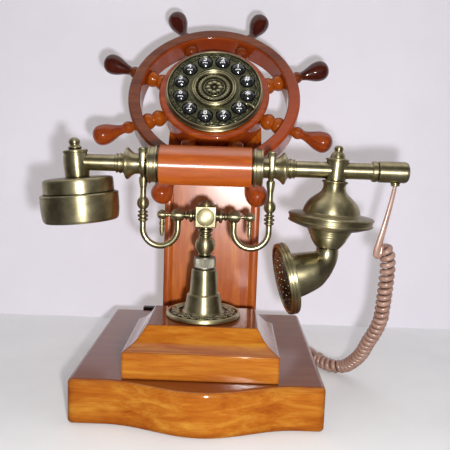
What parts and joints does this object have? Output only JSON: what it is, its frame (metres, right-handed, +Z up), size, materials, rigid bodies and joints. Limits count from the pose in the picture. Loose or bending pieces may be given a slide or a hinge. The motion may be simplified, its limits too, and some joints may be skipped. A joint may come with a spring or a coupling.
{
  "type": "cradle telephone",
  "caption": "Wooden telephone with a ship's-wheel keypad dial on a column, and a brass-and-wood handset resting in a sprung two-armed cradle.",
  "frame": {"origin": "bottom centre of the box round the whole telephone, on the table", "axes": "+X to the right seen from the front, towards the mouthpiece and cord; +Y to the back; +Z up"},
  "size_m": [0.2786, 0.2258, 0.3284],
  "materials": {
    "wood_honey": "gloss varnish",
    "wood_red": "gloss varnish",
    "brass_antique": "brushed, dark antique patina",
    "key_black": "gloss, white numerals",
    "cord_mauve": "satin",
    "rubber_black": "matt",
    "board_green": "solder mask",
    "plastic_black": "satin",
    "steel_grey": "drawn wire"
  },
  "bodies": {
    "base": {"base_slab": "wood_honey", "base_bottom_plate": "plastic_black", "rubber_foot_1": "rubber_black", "rubber_foot_2": "rubber_black", "rubber_foot_3": "rubber_black", "rubber_foot_4": "rubber_black", "plinth": "wood_honey", "column": "wood_honey", "wheel_ring": "wood_red", "wheel_spoke_1": "wood_red", "wheel_spoke_2": "wood_red", "wheel_spoke_3": "wood_red", "wheel_spoke_4": "wood_red", "wheel_spoke_5": "wood_red", "wheel_spoke_6": "wood_red", "wheel_spoke_7": "wood_red", "wheel_spoke_8": "wood_red", "dial_housing": "wood_red", "dial_plate": "brass_antique", "dial_medallion": "brass_antique", "finger_stop": "brass_antique", "keypad_board": "board_green", "post_foot": "brass_antique", "knurled_nut": "brass_antique", "circuit_board": "board_green", "line_jack": "plastic_black", "coiled_cord": "cord_mauve", "hook_spring": "steel_grey"},
    "cradle": {"cradle_stem": "brass_antique", "cross_block": "brass_antique", "hook_left": "brass_antique", "hook_right": "brass_antique", "end_ball_left": "brass_antique", "end_ball_right": "brass_antique"},
    "handset": {"grip": "wood_red", "neck_left": "brass_antique", "neck_right": "brass_antique", "tube_left": "brass_antique", "tube_right": "brass_antique", "ear_stem": "brass_antique", "ear_shell": "brass_antique", "ear_cap": "brass_antique", "mouth_stem": "brass_antique", "bell": "brass_antique", "horn": "brass_antique", "mouth_ring": "brass_antique", "mouth_grille": "brass_antique", "end_cap": "brass_antique"},
    "key_2": {"key_2": "key_black"},
    "key_1": {"key_1": "key_black"},
    "key_hash": {"key_hash": "key_black"},
    "key_star": {"key_star": "key_black"},
    "key_0": {"key_0": "key_black"},
    "key_9": {"key_9": "key_black"},
    "key_8": {"key_8": "key_black"},
    "key_7": {"key_7": "key_black"},
    "key_6": {"key_6": "key_black"},
    "key_5": {"key_5": "key_black"},
    "key_4": {"key_4": "key_black"},
    "key_3": {"key_3": "key_black"}
  },
  "joints": [
    {"name": "handset_lift", "type": "slide", "parent": "base", "child": "handset", "axis": [0, 0, 1], "range_m": [0, 0.08], "deforming": ["coiled_cord"]},
    {"name": "cradle_rise", "type": "slide", "parent": "base", "child": "cradle", "axis": [0, 0, 1], "range_m": [0, 0.005], "deforming": ["hook_spring"]},
    {"name": "key_2_press", "type": "slide", "parent": "base", "child": "key_2", "axis": [0, 0.829, -0.5592], "range_m": [0, 0.0015], "stiffness_N_per_m": 200},
    {"name": "key_1_press", "type": "slide", "parent": "base", "child": "key_1", "axis": [0, 0.829, -0.5592], "range_m": [0, 0.0015], "stiffness_N_per_m": 200},
    {"name": "key_hash_press", "type": "slide", "parent": "base", "child": "key_hash", "axis": [0, 0.829, -0.5592], "range_m": [0, 0.0015], "stiffness_N_per_m": 200},
    {"name": "key_star_press", "type": "slide", "parent": "base", "child": "key_star", "axis": [0, 0.829, -0.5592], "range_m": [0, 0.0015], "stiffness_N_per_m": 200},
    {"name": "key_0_press", "type": "slide", "parent": "base", "child": "key_0", "axis": [0, 0.829, -0.5592], "range_m": [0, 0.0015], "stiffness_N_per_m": 200},
    {"name": "key_9_press", "type": "slide", "parent": "base", "child": "key_9", "axis": [0, 0.829, -0.5592], "range_m": [0, 0.0015], "stiffness_N_per_m": 200},
    {"name": "key_8_press", "type": "slide", "parent": "base", "child": "key_8", "axis": [0, 0.829, -0.5592], "range_m": [0, 0.0015], "stiffness_N_per_m": 200},
    {"name": "key_7_press", "type": "slide", "parent": "base", "child": "key_7", "axis": [0, 0.829, -0.5592], "range_m": [0, 0.0015], "stiffness_N_per_m": 200},
    {"name": "key_6_press", "type": "slide", "parent": "base", "child": "key_6", "axis": [0, 0.829, -0.5592], "range_m": [0, 0.0015], "stiffness_N_per_m": 200},
    {"name": "key_5_press", "type": "slide", "parent": "base", "child": "key_5", "axis": [0, 0.829, -0.5592], "range_m": [0, 0.0015], "stiffness_N_per_m": 200},
    {"name": "key_4_press", "type": "slide", "parent": "base", "child": "key_4", "axis": [0, 0.829, -0.5592], "range_m": [0, 0.0015], "stiffness_N_per_m": 200},
    {"name": "key_3_press", "type": "slide", "parent": "base", "child": "key_3", "axis": [0, 0.829, -0.5592], "range_m": [0, 0.0015], "stiffness_N_per_m": 200}
  ],
  "couplings": [
    {"joint": "cradle_rise", "follows": "handset_lift", "ratio": 0.0625}
  ]
}
